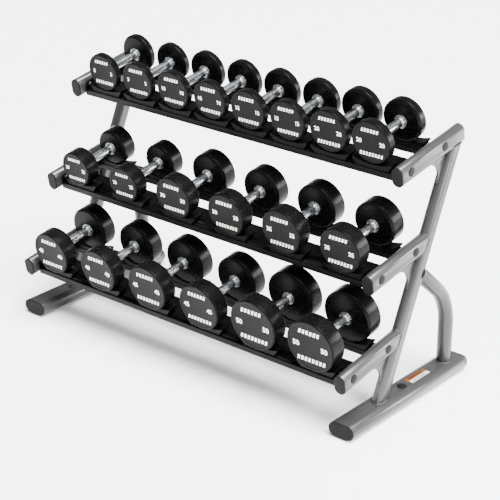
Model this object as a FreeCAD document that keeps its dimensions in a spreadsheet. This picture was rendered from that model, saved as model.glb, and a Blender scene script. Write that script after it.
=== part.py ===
"""Three-tier saddle rack with ten pairs of round dumbbells, as a parametric document.

Frame: +X along the rack, +Y to the rear, +Z up, millimetres.  The origin is on the floor,
under the middle of the whole.  Left is -X.  Everything on a tier is drawn in that tier's
own frame: its origin is the middle of the arm's front end, y runs back along the tilted
arm and z is square to it.  The left side frame mirrors the right one.
"""
import FreeCAD
import Part
import math
import os
import Sketcher
from FreeCAD import Vector

doc = FreeCAD.newDocument("dumbbell_rack")

# ---------------------------------------------------------------- driving dimensions

DIMENSIONS = {
    # side frames
    "side_spacing": 1400.0,
    "foot_length": 665.0,
    "foot_width": 97.0,
    "foot_height": 49.0,
    "tube_wall": 3.0,
    "upright_depth": 58.0,
    "upright_width": 41.0,
    "upright_foot": 207.5,
    "upright_lean": 24.6,
    "arm_height": 66.0,
    "arm_tilt": 9.8,
    "top_arm_length": 345.0,
    "top_level": 803.5,
    "top_set_back": 293.2,
    "middle_level": 487.7,
    "middle_set_back": 286.1,
    "bottom_level": 196.6,
    "bottom_set_back": 285.1,
    "arm_cope": 9.0,
    "cope_step": 3.5,
    # rear brace
    "brace_diameter": 51.0,
    "brace_inset": 89.0,
    "brace_corner": 284.0,
    "brace_bend": 48.8,
    "brace_radius": 200.0,
    # gussets
    "gusset_leg": 105.0,
    "gusset_plate": 6.0,
    "gusset_edge": 4.0,
    "gusset_relief": 15.0,
    # caps, pads and plugs
    "cap_thickness": 5.0,
    "cap_round": 2.0,
    "plug_depth": 14.0,
    "fit_gap": 0.2,
    "rear_cap_length": 26.0,
    "rear_cap_round": 20.0,
    "arm_end_round": 1.5,
    "pad_width": 46.0,
    "pad_length": 90.0,
    "pad_height": 6.0,
    "pad_inset": 8.0,
    "foot_plug_diameter": 32.0,
    "foot_plug_stem": 24.0,
    "foot_plug_position": 331.5,
    "disc_thickness": 1.6,
    "label_width": 36.0,
    "label_length": 108.0,
    "label_position": 422.0,
    "label_thickness": 0.5,
    # fixings of the rails
    "cover_diameter": 30.0,
    "cover_stem": 24.0,
    "bolt_diameter": 8.0,
    "bolt_head": 13.0,
    "bolt_head_height": 5.0,
    "nut_height": 6.5,
    "bolt_front": 49.0,
    "bolt_rear": 235.0,
    "bolt_rise": 4.0,
    # rails and end plates
    "rail_sheet": 4.0,
    "end_plate": 5.0,
    "end_plate_rise": 16.0,
    "end_plate_corner": 16.0,
    "end_plate_rear": 275.0,
    "rail_start": 28.0,
    "front_rail_depth": 112.0,
    "rail_gap": 65.0,
    "rear_rail_depth": 56.0,
    "rail_drop": 21.0,
    "rail_lip": 12.0,
    # saddles
    "saddle_floor": 3.0,
    "saddle_thickness": 15.0,
    "saddle_width": 152.0,
    "saddle_foot": 120.0,
    "saddle_rise": 12.0,
    "saddle_tip": 6.0,
    "saddle_depth": 42.0,
    "front_saddle": 53.0,
    "rear_saddle": 228.0,
    "saddle_screw": 6.0,
    "screw_head": 12.0,
    "screw_head_height": 3.5,
    "screw_depth": 8.0,
    # dumbbells
    "top_pitch": 166.0,
    "middle_pitch": 233.5,
    "bottom_pitch": 233.5,
    "top_overhang": 34.0,
    "middle_overhang": 20.0,
    "bottom_overhang": 15.0,
    "top_dumbbell": 202.0,
    "middle_dumbbell": 244.0,
    "bottom_dumbbell": 254.0,
    "head_clearance": 0.3,
    "head_bevel": 4.0,
    "inner_bevel": 7.0,
    "face_rim": 9.0,
    "face_recess": 1.0,
    "grip_diameter": 30.0,
    "collar_diameter": 46.0,
    "collar_length": 5.0,
    "step_diameter": 38.0,
    "step_length": 11.0,
}

# tier: dumbbells in a row, and for each weight the diameter and thickness of its heads
TIERS = {
    "top": (8, {"05": (137.0, 29.0), "10": (140.0, 31.0), "15": (142.0, 33.0), "20": (147.0, 36.0)}),
    "middle": (6, {"25": (130.0, 60.0), "30": (151.0, 60.0), "35": (156.0, 62.0)}),
    "bottom": (6, {"40": (159.0, 61.0), "45": (166.0, 62.0), "50": (184.0, 64.0)}),
}
for _, weights in TIERS.values():
    for weight, (diameter, thickness) in weights.items():
        DIMENSIONS["head" + weight + "_diameter"] = diameter
        DIMENSIONS["head" + weight + "_thickness"] = thickness

# lengths that follow from the driving ones, as formulas of the sheet
DERIVED = {
    "side": "side_spacing / 2",
    "foot_top": "pad_height + foot_height",
    "top_front": "upright_foot + (top_level - foot_top) * tan(upright_lean) - top_set_back",
    "middle_front": "upright_foot + (middle_level - foot_top) * tan(upright_lean) - middle_set_back",
    "bottom_front": "upright_foot + (bottom_level - foot_top) * tan(upright_lean) - bottom_set_back",
    "front_edge": "bottom_front + bottom_overhang * cos(arm_tilt)"
                  " - (saddle_floor + head_clearance + head50_diameter - head_bevel) * sin(arm_tilt)",
    "centre_shift": "-(foot_length + front_edge) / 2",
    "joint_angle": "upright_lean + arm_tilt",
    "gusset_radius": "gusset_leg * tan(45 - joint_angle / 2) - gusset_edge",
    "cope_half": "sqrt((upright_width / 2)^2 - cope_step^2)",
    "cope_front": "(upright_depth - upright_width) / 2",
    "plate_side": "side - upright_width / 2 - end_plate",
    "rail_top": "saddle_floor - saddle_thickness",
    "rear_rail_start": "rail_start + front_rail_depth + rail_gap",
    "saddle_radius": "((saddle_width / 2)^2 + saddle_rise^2) / (2 * saddle_rise)",
    "brace_position": "foot_length - brace_inset",
    "brace_tangent": "brace_radius * tan(brace_bend / 2)",
    # from the brace's corner along its sloping run to the upright's middle line
    "brace_run": "((brace_position - upright_foot) * cos(upright_lean)"
                 " - (brace_corner - foot_top) * sin(upright_lean)) / sin(brace_bend + upright_lean)",
}
for tier in TIERS:
    # how far back along the arm its underside meets the upright's front line
    DERIVED[tier + "_reach"] = (
        "((-upright_depth / 2) - ((" + tier + "_front - upright_foot) * cos(upright_lean)"
        " - (" + tier + "_level - foot_top) * sin(upright_lean))"
        " - arm_height / 2 * sin(joint_angle)) / cos(joint_angle)"
    )

sizes = doc.addObject("Spreadsheet::Sheet", "Sizes")
ALIASES = list(DIMENSIONS) + list(DERIVED)


def own_cells(formula):
    """The same formula with every alias written as the sheet's own cell."""
    words = []
    word = ""
    for letter in formula + " ":
        if letter.isalnum() or letter == "_":
            word += letter
        else:
            words.append("Sizes." + word if word in ALIASES else word)
            words.append(letter)
            word = ""
    return "".join(words).strip()


for row, (alias, value) in enumerate(DIMENSIONS.items(), start=1):
    sizes.set("A%d" % row, alias)
    sizes.set("B%d" % row, str(value))
    sizes.setAlias("B%d" % row, alias)
for row, (alias, formula) in enumerate(DERIVED.items(), start=1):
    sizes.set("D%d" % row, alias)
    sizes.set("E%d" % row, "=" + formula)
    sizes.setAlias("E%d" % row, alias)
doc.recompute()


def size(formula):
    """The present value of a formula of the sheet's cells."""
    return float(sizes.evalExpression(own_cells(formula)))


# ---------------------------------------------------------------- helpers

def bind(thing, prop, formula):
    thing.setExpression(prop, own_cells(formula))


def place(thing, shift=("0", "0", "0"), turn="0"):
    """Put an object at a shift and turn it about X by an angle."""
    vector = "create(<<vector>>; %s; %s; %s)" % shift
    axis = "create(<<vector>>; 1; 0; 0)"
    rotation = "create(<<rotation>>; %s; %s)" % (axis, turn)
    bind(thing, "Placement", "create(<<placement>>; %s; %s)" % (vector, rotation))


def at_floor(thing, across="0"):
    """An object drawn from the front end of the foot, at floor level."""
    place(thing, (across, "centre_shift", "0"))


def at_tier(thing, tier, across="0"):
    place(thing, (across, "centre_shift + " + tier + "_front", tier + "_level"), "arm_tilt")


def at_upright(thing):
    place(thing, ("side", "centre_shift + upright_foot", "foot_top"), "-upright_lean")


def new_body(name):
    body = doc.addObject("PartDesign::Body", name)
    body.Label = name
    body.AllowCompound = True
    return body


def plane_of(body, role):
    for feature in body.Origin.OriginFeatures:
        if feature.Role == role:
            return feature
    raise ValueError(role)


def new_sketch(body, role, offset="0"):
    sketch = body.newObject("Sketcher::SketchObject", body.Name + "_sketch")
    sketch.AttachmentSupport = [(plane_of(body, role), "")]
    sketch.MapMode = "FlatFace"
    if offset != "0":
        bind(sketch, "AttachmentOffset.Base.z", offset)
    return sketch


def constrain(sketch, kind, *values):
    """Add a constraint whose last value is a formula, and bind it."""
    number = size(values[-1])
    index = sketch.addConstraint(Sketcher.Constraint(kind, *values[:-1], number))
    bind(sketch, "Constraints[%d]" % index, values[-1])


def fix_point(sketch, geometry, point, across, along):
    constrain(sketch, "DistanceX", -1, 1, geometry, point, across)
    constrain(sketch, "DistanceY", -1, 1, geometry, point, along)


def outline(sketch, points, arcs=None, closed=True):
    """Straight and round runs through points given as pairs of formulas.

    arcs maps the number of a run to (radius, side): side is +1 for a centre to the left
    of the run's direction and -1 for one to its right.
    """
    arcs = arcs or {}
    spots = [Vector(size(x), size(y), 0) for x, y in points]
    runs = len(points) if closed else len(points) - 1
    ends = []
    for run in range(runs):
        first = spots[run]
        last = spots[(run + 1) % len(spots)]
        if run not in arcs:
            index = sketch.addGeometry(Part.LineSegment(first, last), False)
            ends.append((index, 1, 2))
            continue
        radius, side = arcs[run]
        chord = last.sub(first)
        rise = max(size(radius) ** 2 - (chord.Length / 2) ** 2, 0.0) ** 0.5
        across = Vector(-chord.y, chord.x, 0).normalize().multiply(side * rise)
        centre = first.add(last).multiply(0.5).add(across)
        start, end = (first, last) if side > 0 else (last, first)
        low = math.atan2(start.y - centre.y, start.x - centre.x)
        high = math.atan2(end.y - centre.y, end.x - centre.x)
        if high < low:
            high += 2 * math.pi
        whole = Part.Circle(centre, Vector(0, 0, 1), size(radius))
        index = sketch.addGeometry(Part.ArcOfCircle(whole, low, high), False)
        ends.append((index, 1, 2) if side > 0 else (index, 2, 1))
    for run in range(runs if closed else runs - 1):
        here = ends[run]
        following = ends[(run + 1) % runs]
        sketch.addConstraint(Sketcher.Constraint("Coincident", here[0], here[2], following[0], following[1]))
    for run, (x, y) in enumerate(points):
        if run < runs:
            fix_point(sketch, ends[run][0], ends[run][1], x, y)
        else:
            fix_point(sketch, ends[run - 1][0], ends[run - 1][2], x, y)
    for run, (radius, _) in arcs.items():
        constrain(sketch, "Radius", ends[run][0], radius)


def oblong(sketch, long_side, short_side, centre=("0", "0"), upright=True):
    """A flat-oval outline: two straight sides joined by half circles."""
    reach = "((%s) - (%s)) / 2" % (long_side, short_side)
    radius = "(%s) / 2" % short_side
    x0, y0 = centre
    span = Vector(size(x0), size(y0), 0)
    arcs = []
    for sign in (1, -1):
        step = size(reach) * sign
        middle = span + (Vector(0, step, 0) if upright else Vector(step, 0, 0))
        low = math.radians((0 if upright else -90) + (0 if sign > 0 else 180))
        whole = Part.Circle(middle, Vector(0, 0, 1), size(radius))
        arcs.append(sketch.addGeometry(Part.ArcOfCircle(whole, low, low + math.pi), False))
    for here, there in ((0, 1), (1, 0)):
        start = sketch.Geometry[arcs[here]].EndPoint
        end = sketch.Geometry[arcs[there]].StartPoint
        line = sketch.addGeometry(Part.LineSegment(start, end), False)
        sketch.addConstraint(Sketcher.Constraint("Tangent", arcs[here], 2, line, 1))
        sketch.addConstraint(Sketcher.Constraint("Tangent", line, 2, arcs[there], 1))
    signs = ("+", "-")
    for sign, arc in zip(signs, arcs):
        x = x0 if upright else "%s %s %s" % (x0, sign, reach)
        y = "%s %s %s" % (y0, sign, reach) if upright else y0
        fix_point(sketch, arc, 3, x, y)
    constrain(sketch, "Radius", arcs[0], radius)


def circle(sketch, diameter, centre=("0", "0")):
    spot = Vector(size(centre[0]), size(centre[1]), 0)
    index = sketch.addGeometry(Part.Circle(spot, Vector(0, 0, 1), size(diameter) / 2), False)
    fix_point(sketch, index, 3, *centre)
    constrain(sketch, "Diameter", index, diameter)


def solid(body, kind, sketch, length, backwards=False):
    """A Pad or Pocket of a sketch, by a length."""
    feature = body.newObject("PartDesign::" + kind, body.Name + "_" + kind.lower())
    feature.Profile = sketch
    bind(feature, "Length", length)
    feature.Reversed = backwards
    body.Tip = feature
    return feature


def cut_through(body, sketch, length, backwards=False):
    """A Pocket that has to take material away."""
    doc.recompute()
    before = body.Shape.Volume
    solid(body, "Pocket", sketch, length, backwards)
    doc.recompute()
    if body.Shape.Volume > before - 1.0:
        raise ValueError(body.Name + ": a pocket cuts nothing")


def repeat(body, features, count, pitch):
    """Copies of features along the body's X axis."""
    pattern = body.newObject("PartDesign::LinearPattern", body.Name + "_row")
    pattern.Originals = features
    pattern.Direction = (plane_of(body, "YZ_Plane"), [""])
    bind(pattern, "Length", pitch + " * %d" % (count - 1))
    pattern.Occurrences = count
    body.Tip = pattern


def round_edges(body, wanted, radius):
    """Fillet the edges of the body's present shape for which wanted(edge) holds."""
    doc.recompute()
    base = body.Tip
    names = []
    for number, edge in enumerate(base.Shape.Edges, start=1):
        if wanted(edge):
            names.append("Edge%d" % number)
    fillet = body.newObject("PartDesign::Fillet", body.Name + "_round")
    fillet.Base = (base, names)
    bind(fillet, "Radius", radius)
    body.Tip = fillet


def at_y(place_y):
    """A test for edges that lie wholly at one y of the body's own frame."""
    def wanted(edge):
        box = edge.BoundBox
        return abs(box.YMin - place_y) < 0.01 and abs(box.YMax - place_y) < 0.01
    return wanted


def combine(kind, name, base, tool):
    """A Part::Cut or Part::Common of two objects."""
    result = doc.addObject("Part::" + kind, name)
    result.Base = base
    result.Tool = tool
    result.Label = name
    return result


def mirrored(source, name):
    """The same piece on the other side of the rack."""
    copy = doc.addObject("Part::Mirroring", name)
    copy.Source = source
    copy.Base = Vector(0, 0, 0)
    copy.Normal = Vector(1, 0, 0)
    copy.Label = name
    return copy


def group(name, members):
    compound = doc.addObject("Part::Compound", name)
    compound.Links = members
    compound.Label = name
    return compound


NODES = []


def keep(thing):
    NODES.append(thing)
    return thing


def keep_both(right, stem):
    """Keep a right-hand piece and its left-hand mirror image."""
    right.Label = "right_" + stem
    keep(right)
    keep(mirrored(right, "left_" + stem))


def keep_group(name, right_members):
    """One node of the right-hand pieces and their mirror images."""
    members = list(right_members)
    for member in right_members:
        members.append(mirrored(member, member.Name + "_left"))
    keep(group(name, members))


def prism(name, role, offset, length, points, arcs=None, backwards=False):
    """A body padded from one outline."""
    body = new_body(name)
    sketch = new_sketch(body, role, offset)
    outline(sketch, points, arcs)
    solid(body, "Pad", sketch, length, backwards)
    return body


# ---------------------------------------------------------------- feet

FOOT_LEVEL = "pad_height + foot_height / 2"


def foot_oblong(sketch, shrink):
    """The foot's flat oval, made smaller all round by a shrink."""
    oblong(sketch, "foot_width - 2 * (%s)" % shrink, "foot_height - 2 * (%s)" % shrink,
           ("0", FOOT_LEVEL), upright=False)


def arm_oblong(sketch, shrink):
    """The arm's flat oval, made smaller all round by a shrink."""
    oblong(sketch, "arm_height - 2 * (%s)" % shrink, "upright_width - 2 * (%s)" % shrink)


def foot_section(name, start, length, inner=None):
    """A length of the foot's flat oval, hollow where an inner shrink is given."""
    body = new_body(name)
    sketch = new_sketch(body, "XZ_Plane", "-(" + start + ")")
    foot_oblong(sketch, "0")
    if inner:
        foot_oblong(sketch, inner)
    solid(body, "Pad", sketch, length, backwards=True)
    at_floor(body, "side")
    return body


def add_insert(body, start, section, backwards=True):
    """The stem of a cap, a loose fit in its tube."""
    sketch = new_sketch(body, "XZ_Plane", "-(" + start + ")")
    section(sketch, "tube_wall + fit_gap")
    solid(body, "Pad", sketch, "plug_depth", backwards)


tube_end = "foot_length - rear_cap_length"
foot = foot_section("right_foot_tube", "cap_thickness", tube_end + " - cap_thickness", inner="tube_wall")
plug_hole = new_sketch(foot, "XY_Plane", "foot_top + 1")
circle(plug_hole, "foot_plug_stem + 2 * fit_gap", ("0", "foot_plug_position"))
cut_through(foot, plug_hole, "tube_wall + 3")
keep_both(foot, "foot_tube")

foot_cap = foot_section("foot_front_cap", "0", "cap_thickness")
round_edges(foot_cap, at_y(0.0), "cap_round")
add_insert(foot_cap, "cap_thickness", foot_oblong)
keep_group("foot_front_caps", [foot_cap])

foot_end = foot_section("foot_rear_cap", tube_end, "rear_cap_length")
round_edges(foot_end, at_y(size("foot_length")), "rear_cap_round")
add_insert(foot_end, tube_end, foot_oblong, backwards=False)

pads = []
for end, start in (("front", "pad_inset"), ("rear", "foot_length - rear_cap_length - pad_length")):
    pad = prism("foot_pad_" + end, "XY_Plane", "0", "pad_height", [
        ("-pad_width / 2", start),
        ("pad_width / 2", start),
        ("pad_width / 2", start + " + pad_length"),
        ("-pad_width / 2", start + " + pad_length"),
    ])
    at_floor(pad, "side")
    pads.append(pad)
keep_group("foot_pads", pads)

foot_plug = new_body("foot_plug")
disc = new_sketch(foot_plug, "XY_Plane", "foot_top")
circle(disc, "foot_plug_diameter", ("0", "foot_plug_position"))
solid(foot_plug, "Pad", disc, "disc_thickness")
stem = new_sketch(foot_plug, "XY_Plane", "foot_top")
circle(stem, "foot_plug_stem", ("0", "foot_plug_position"))
solid(foot_plug, "Pad", stem, "tube_wall", backwards=True)
at_floor(foot_plug, "side")
keep_group("foot_plugs", [foot_plug])

label = prism("foot_label", "XY_Plane", "foot_top", "label_thickness", [
    ("-label_width / 2", "label_position - label_length / 2"),
    ("label_width / 2", "label_position - label_length / 2"),
    ("label_width / 2", "label_position + label_length / 2"),
    ("-label_width / 2", "label_position + label_length / 2"),
])
at_floor(label, "side")
keep(label)

# ---------------------------------------------------------------- arms and uprights

FAR = "foot_length * 2"


def cope_tool(name, sign):
    """What an arm or a brace loses where it is coped round the upright's rounded edge."""
    body = new_body(name)
    sketch = new_sketch(body, "XY_Plane", "-foot_length / 4")
    edge = "%d * (cope_front + cope_step)" % sign
    far = "%d * (cope_front - foot_length / 3)" % sign
    wide = "foot_width"
    outline(sketch, [
        ("-" + wide, edge),
        ("-cope_half", edge),
        ("cope_half", edge),
        (wide, edge),
        (wide, far),
        ("-" + wide, far),
    ], arcs={1: ("upright_width / 2", 1 if sign < 0 else -1)})
    solid(body, "Pad", sketch, FAR)
    at_upright(body)
    return body


front_cope = cope_tool("front_cope", -1)
rear_cope = cope_tool("rear_cope", 1)


def fixing_holes(arm):
    """In the outer wall a hole for each bolt cover, in the inner wall one for each bolt."""
    for wall, diameter, start in (
        ("outer", "cover_stem + 2 * fit_gap", "upright_width / 2 + 1"),
        ("inner", "bolt_diameter + 2 * fit_gap", "tube_wall + 1 - upright_width / 2"),
    ):
        sketch = new_sketch(arm, "YZ_Plane", start)
        circle(sketch, diameter, ("bolt_front", "bolt_rise"))
        circle(sketch, diameter, ("bolt_rear", "bolt_rise"))
        cut_through(arm, sketch, "tube_wall + 2")


def arm_tube(name, tier, length):
    body = new_body(name)
    sketch = new_sketch(body, "XZ_Plane", "-cap_thickness")
    arm_oblong(sketch, "0")
    arm_oblong(sketch, "tube_wall")
    solid(body, "Pad", sketch, length, backwards=True)
    fixing_holes(body)
    at_tier(body, tier, "side")
    return body


arm_caps = []
for tier in TIERS:
    if tier == "top":
        arm = arm_tube("right_top_arm", tier, "top_arm_length - 2 * cap_thickness")
    else:
        blank = arm_tube("right_%s_arm_blank" % tier, tier, tier + "_reach + upright_depth")
        arm = combine("Cut", "right_%s_arm" % tier, blank, front_cope)
    keep_both(arm, tier + "_arm")
    cap = new_body("arm_cap_" + tier)
    face = new_sketch(cap, "XZ_Plane")
    arm_oblong(face, "0")
    solid(cap, "Pad", face, "cap_thickness", backwards=True)
    round_edges(cap, at_y(0.0), "cap_round")
    add_insert(cap, "cap_thickness", arm_oblong)
    at_tier(cap, tier, "side")
    arm_caps.append(cap)
keep_group("arm_front_caps", arm_caps)

arm_end = new_body("arm_rear_cap")
end_face = new_sketch(arm_end, "XZ_Plane", "cap_thickness - top_arm_length")
arm_oblong(end_face, "0")
solid(arm_end, "Pad", end_face, "cap_thickness", backwards=True)
round_edges(arm_end, at_y(size("top_arm_length")), "arm_end_round")
add_insert(arm_end, "top_arm_length - cap_thickness", arm_oblong, backwards=False)
at_tier(arm_end, "top", "side")
keep_group("rear_caps", [foot_end, arm_end])

arm_shape = new_body("top_arm_shape")
shape_face = new_sketch(arm_shape, "XZ_Plane")
arm_oblong(shape_face, "0")
solid(arm_shape, "Pad", shape_face, "top_arm_length", backwards=True)
at_tier(arm_shape, "top", "side")

upright_blank = new_body("upright_blank")
upright_face = new_sketch(upright_blank, "XY_Plane", "-foot_width")
oblong(upright_face, "upright_depth", "upright_width")
oblong(upright_face, "upright_depth - 2 * tube_wall", "upright_width - 2 * tube_wall")
solid(upright_blank, "Pad", upright_face, FAR)
at_upright(upright_blank)


def under_arm(y):
    """The level of the upright's cut at y: a little above the top arm's underside."""
    return "top_level + (%s - top_front) * tan(arm_tilt) - (arm_height / 2 - arm_cope) / cos(arm_tilt)" % y


trim = prism("upright_trim", "YZ_Plane", "-foot_width", "2 * foot_width", [
    ("-foot_length", "foot_top"),
    (FAR, "foot_top"),
    (FAR, under_arm(FAR)),
    ("-foot_length", under_arm("-foot_length")),
])
at_floor(trim, "side")
trimmed = combine("Common", "upright_trimmed", upright_blank, trim)
keep_both(combine("Cut", "right_upright_tube", trimmed, arm_shape), "upright_tube")

# ---------------------------------------------------------------- rear braces

brace_blank = new_body("brace_blank")
path = new_sketch(brace_blank, "YZ_Plane")
outline(path, [
    ("brace_position", "foot_top"),
    ("brace_position", "brace_corner - brace_tangent"),
    ("brace_position - brace_tangent * sin(brace_bend)", "brace_corner + brace_tangent * cos(brace_bend)"),
    ("brace_position - brace_run * sin(brace_bend)", "brace_corner + brace_run * cos(brace_bend)"),
], arcs={1: ("brace_radius", 1)}, closed=False)
ring = new_sketch(brace_blank, "XY_Plane", "foot_top")
circle(ring, "brace_diameter", ("0", "brace_position"))
circle(ring, "brace_diameter - 2 * tube_wall", ("0", "brace_position"))
pipe = brace_blank.newObject("PartDesign::AdditivePipe", "brace_pipe")
pipe.Profile = ring
pipe.Spine = path
brace_blank.Tip = pipe
at_floor(brace_blank, "side")
keep_both(combine("Cut", "right_rear_brace", brace_blank, rear_cope), "rear_brace")

# ---------------------------------------------------------------- gussets

UNDERSIDE = "-arm_height / 2"


def along_upright(tier, drop, off):
    """A point of the tier's frame on the upright's front line, given down it and off it."""
    y = "%s_reach - (%s) * sin(joint_angle) - (%s) * cos(joint_angle)" % (tier, drop, off)
    z = "%s - (%s) * cos(joint_angle) + (%s) * sin(joint_angle)" % (UNDERSIDE, drop, off)
    return y, z


gussets = []
for tier in TIERS:
    reach = tier + "_reach"
    gusset = prism("gusset_" + tier, "YZ_Plane", "-gusset_plate / 2", "gusset_plate", [
        (reach + " - gusset_relief", UNDERSIDE),
        (reach + " - gusset_leg", UNDERSIDE),
        (reach + " - gusset_leg", UNDERSIDE + " - gusset_edge"),
        along_upright(tier, "gusset_leg", "gusset_edge"),
        along_upright(tier, "gusset_leg", "0"),
        along_upright(tier, "gusset_relief", "0"),
    ], arcs={2: ("gusset_radius", -1)})
    at_tier(gusset, tier, "side")
    gussets.append(gusset)
keep(group("right_gussets", gussets))
keep(group("left_gussets", [mirrored(gusset, gusset.Name + "_left") for gusset in gussets]))

# ---------------------------------------------------------------- rails, end plates and fixings

RAIL_LENGTH = "2 * plate_side"


def rail(tier, name, start):
    """A folded channel: a shelf with a flange down at the front and a lip down at the rear."""
    end = "%s + %s_rail_depth" % (start, name)
    body = prism("%s_%s_rail" % (tier, name), "YZ_Plane", "-plate_side", RAIL_LENGTH, [
        (start, "rail_top"),
        (start, "rail_top - rail_drop"),
        (start + " + rail_sheet", "rail_top - rail_drop"),
        (start + " + rail_sheet", "rail_top - rail_sheet"),
        (end + " - rail_sheet", "rail_top - rail_sheet"),
        (end + " - rail_sheet", "rail_top - rail_lip"),
        (end, "rail_top - rail_lip"),
        (end, "rail_top"),
    ])
    at_tier(body, tier)
    return body


def first_place(tier):
    """Where the leftmost dumbbell of a tier lies along the rack."""
    return "-%s_pitch * %d / 2" % (tier, TIERS[tier][0] - 1)


covers = []
bolts = []
nuts = []
for tier in TIERS:
    count = TIERS[tier][0]
    for name, start in (("front", "rail_start"), ("rear", "rear_rail_start")):
        channel = rail(tier, name, start)
        holes = new_sketch(channel, "XY_Plane", "rail_top + 1")
        circle(holes, "saddle_screw + 2 * fit_gap", (first_place(tier), name + "_saddle"))
        cut_through(channel, holes, "rail_sheet + 2")
        repeat(channel, [channel.Tip], count, tier + "_pitch")
        keep(channel)

    plate = prism(tier + "_end_plate", "YZ_Plane", "plate_side", "end_plate", [
        ("rail_start", "rail_top - rail_drop"),
        ("end_plate_rear", "rail_top - rail_drop"),
        ("end_plate_rear", "end_plate_rise"),
        ("rail_start + end_plate_corner", "end_plate_rise"),
        ("rail_start", "end_plate_rise - end_plate_corner"),
    ], arcs={3: ("end_plate_corner", 1)})
    at_tier(plate, tier)
    holes = new_sketch(plate, "YZ_Plane", "plate_side + end_plate + 1")
    for along in ("bolt_front", "bolt_rear"):
        circle(holes, "bolt_diameter + 2 * fit_gap", (along, "bolt_rise"))
    cut_through(plate, holes, "end_plate + 2")
    keep_group(tier + "_end_plates", [plate])

    for end in ("front", "rear"):
        spot = ("bolt_" + end, "bolt_rise")
        inner_wall = "side - upright_width / 2 + tube_wall"
        outer_face = "side + upright_width / 2"
        cover = new_body("bolt_cover_%s_%s" % (tier, end))
        disc = new_sketch(cover, "YZ_Plane", outer_face)
        circle(disc, "cover_diameter", spot)
        solid(cover, "Pad", disc, "disc_thickness")
        stem = new_sketch(cover, "YZ_Plane", outer_face)
        circle(stem, "cover_stem", spot)
        solid(cover, "Pad", stem, "tube_wall", backwards=True)
        bolt = new_body("rail_bolt_%s_%s" % (tier, end))
        shank = new_sketch(bolt, "YZ_Plane", inner_wall)
        circle(shank, "bolt_diameter", spot)
        solid(bolt, "Pad", shank, "tube_wall + end_plate + nut_height", backwards=True)
        head = new_sketch(bolt, "YZ_Plane", inner_wall)
        circle(head, "bolt_head", spot)
        solid(bolt, "Pad", head, "bolt_head_height")
        nut = new_body("rail_nut_%s_%s" % (tier, end))
        collar = new_sketch(nut, "YZ_Plane", "plate_side")
        circle(collar, "bolt_head", spot)
        circle(collar, "bolt_diameter + 2 * fit_gap", spot)
        solid(nut, "Pad", collar, "nut_height", backwards=True)
        for piece in (cover, bolt, nut):
            at_tier(piece, tier)
        covers.append(cover)
        bolts.append(bolt)
        nuts.append(nut)
keep_group("bolt_covers", covers)
keep_group("rail_bolts", bolts)
keep_group("rail_nuts", nuts)

# ---------------------------------------------------------------- saddles

screws = []
for tier in TIERS:
    count = TIERS[tier][0]
    middle = first_place(tier)
    for name in ("front", "rear"):
        along = name + "_saddle"
        saddles = prism(
            "%s_%s_saddles" % (tier, name), "XZ_Plane", "saddle_depth / 2 - " + along, "saddle_depth",
            [
                (middle + " - saddle_width / 2", "saddle_floor + saddle_rise"),
                (middle + " - saddle_width / 2", "saddle_floor + saddle_rise - saddle_tip"),
                (middle + " - saddle_foot / 2", "rail_top"),
                (middle + " + saddle_foot / 2", "rail_top"),
                (middle + " + saddle_width / 2", "saddle_floor + saddle_rise - saddle_tip"),
                (middle + " + saddle_width / 2", "saddle_floor + saddle_rise"),
            ],
            arcs={5: ("saddle_radius", -1)},
            backwards=True,
        )
        repeat(saddles, [saddles.Tip], count, tier + "_pitch")
        holes = new_sketch(saddles, "XY_Plane", "rail_top - 1")
        circle(holes, "saddle_screw + 2 * fit_gap", (middle, along))
        cut_through(saddles, holes, "screw_depth + 1 + fit_gap", backwards=True)
        repeat(saddles, [saddles.Tip], count, tier + "_pitch")
        at_tier(saddles, tier)
        keep(saddles)

        screw = new_body("%s_%s_screws" % (tier, name))
        shank = new_sketch(screw, "XY_Plane", "rail_top - rail_sheet")
        circle(shank, "saddle_screw", (middle, along))
        shank_pad = solid(screw, "Pad", shank, "rail_sheet + screw_depth")
        head = new_sketch(screw, "XY_Plane", "rail_top - rail_sheet")
        circle(head, "screw_head", (middle, along))
        head_pad = solid(screw, "Pad", head, "screw_head_height", backwards=True)
        repeat(screw, [shank_pad, head_pad], count, tier + "_pitch")
        at_tier(screw, tier)
        screws.append(screw)
keep(group("saddle_screws", screws))

# ---------------------------------------------------------------- dumbbells


def revolve(body, points):
    """Turn a half outline, given as (radius, along), about the body's Y axis."""
    sketch = new_sketch(body, "XY_Plane")
    outline(sketch, points)
    feature = body.newObject("PartDesign::Revolution", body.Name + "_turn")
    feature.Profile = sketch
    feature.ReferenceAxis = (sketch, ["V_Axis"])
    feature.Angle = 360
    body.Tip = feature


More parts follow.
